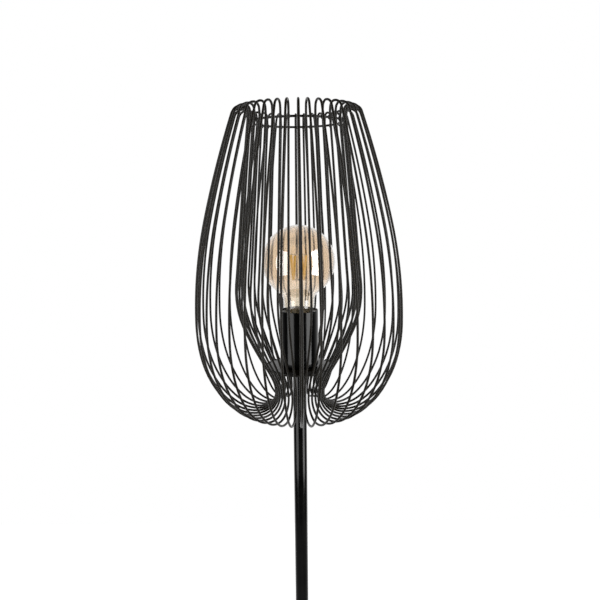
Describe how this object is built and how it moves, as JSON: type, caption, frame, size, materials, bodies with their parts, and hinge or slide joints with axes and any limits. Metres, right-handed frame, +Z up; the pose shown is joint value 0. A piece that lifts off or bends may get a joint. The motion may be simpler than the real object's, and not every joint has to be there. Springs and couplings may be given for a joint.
{
  "type": "floor lamp",
  "caption": "Slim floor lamp with a round weighted foot, a straight screwed pole and a tulip-shaped cage of looped wires round a bare amber globe bulb.",
  "frame": {"origin": "centre of the foot's underside, on the floor", "axes": "+Z up along the pole; -Y is the front of the lamp and +Y the side where the cord leaves the foot"},
  "size_m": [0.23, 0.23, 1.5],
  "materials": {
    "satin_black_wire": "satin black powder coat",
    "semi_gloss_black_steel": "semi-gloss black lacquer on steel",
    "cast_iron": "raw casting",
    "black_felt": "pressed felt",
    "black_plastic": "moulded, fine texture",
    "zinc_plated_steel": "bright zinc plate",
    "brown_phenolic": "moulded brown phenolic",
    "brass": "bright rolled brass",
    "nickel_plated_cap": "nickel plate",
    "black_glass": "opaque black glass",
    "amber_glass": "clear amber-tinted glass",
    "clear_glass": "clear glass with support wires",
    "filament_phosphor": "yellow phosphor coat"
  },
  "bodies": {
    "lamp": {"cage_wire_01": "satin_black_wire", "cage_wire_02": "satin_black_wire", "cage_wire_03": "satin_black_wire", "cage_wire_04": "satin_black_wire", "cage_wire_05": "satin_black_wire", "cage_wire_06": "satin_black_wire", "cage_wire_07": "satin_black_wire", "cage_wire_08": "satin_black_wire", "cage_wire_09": "satin_black_wire", "cage_wire_10": "satin_black_wire", "cage_wire_11": "satin_black_wire", "cage_wire_12": "satin_black_wire", "cage_wire_13": "satin_black_wire", "cage_wire_14": "satin_black_wire", "cage_wire_15": "satin_black_wire", "cage_wire_16": "satin_black_wire", "cage_wire_17": "satin_black_wire", "cage_wire_18": "satin_black_wire", "cage_wire_19": "satin_black_wire", "cage_wire_20": "satin_black_wire", "cage_wire_21": "satin_black_wire", "cage_wire_22": "satin_black_wire", "cage_wire_23": "satin_black_wire", "cage_wire_24": "satin_black_wire", "cage_wire_25": "satin_black_wire", "cage_wire_26": "satin_black_wire", "cage_wire_27": "satin_black_wire", "cage_wire_28": "satin_black_wire", "cage_wire_29": "satin_black_wire", "cage_wire_30": "satin_black_wire", "cage_wire_31": "satin_black_wire", "cage_wire_32": "satin_black_wire", "cage_wire_33": "satin_black_wire", "cage_wire_34": "satin_black_wire", "cage_wire_35": "satin_black_wire", "cage_wire_36": "satin_black_wire", "cage_wire_37": "satin_black_wire", "cage_wire_38": "satin_black_wire", "top_ring": "satin_black_wire", "hub_disc": "satin_black_wire", "pole_lower": "semi_gloss_black_steel", "pole_middle": "semi_gloss_black_steel", "pole_upper": "semi_gloss_black_steel", "base_cover": "semi_gloss_black_steel", "socket_cup": "semi_gloss_black_steel", "base_weight": "cast_iron", "base_pad": "black_felt", "cord_bushing": "black_plastic", "threaded_nipples": "zinc_plated_steel", "lock_nuts": "zinc_plated_steel", "lock_washers": "zinc_plated_steel", "lampholder_body": "brown_phenolic", "screw_shell": "brass", "centre_contact": "brass"},
    "bulb_lift": {"bulb_insulator": "black_glass", "bulb_contact": "brass"},
    "bulb": {"bulb_glass": "amber_glass", "bulb_cap": "nickel_plated_cap", "bulb_stem": "clear_glass", "bulb_filaments": "filament_phosphor"}
  },
  "joints": [
    {"name": "bulb_rise", "type": "slide", "parent": "lamp", "child": "bulb_lift", "axis": [0, 0, 1], "range_m": [0, 0.0128]},
    {"name": "bulb_turn", "type": "hinge", "parent": "bulb_lift", "child": "bulb", "pos_m": [0, 0, 1.2507], "axis": [0, 0, 1], "range_deg": [0, 1260]}
  ],
  "couplings": [
    {"joint": "bulb_rise", "follows": "bulb_turn", "m_per_rad": 0.00057757}
  ]
}
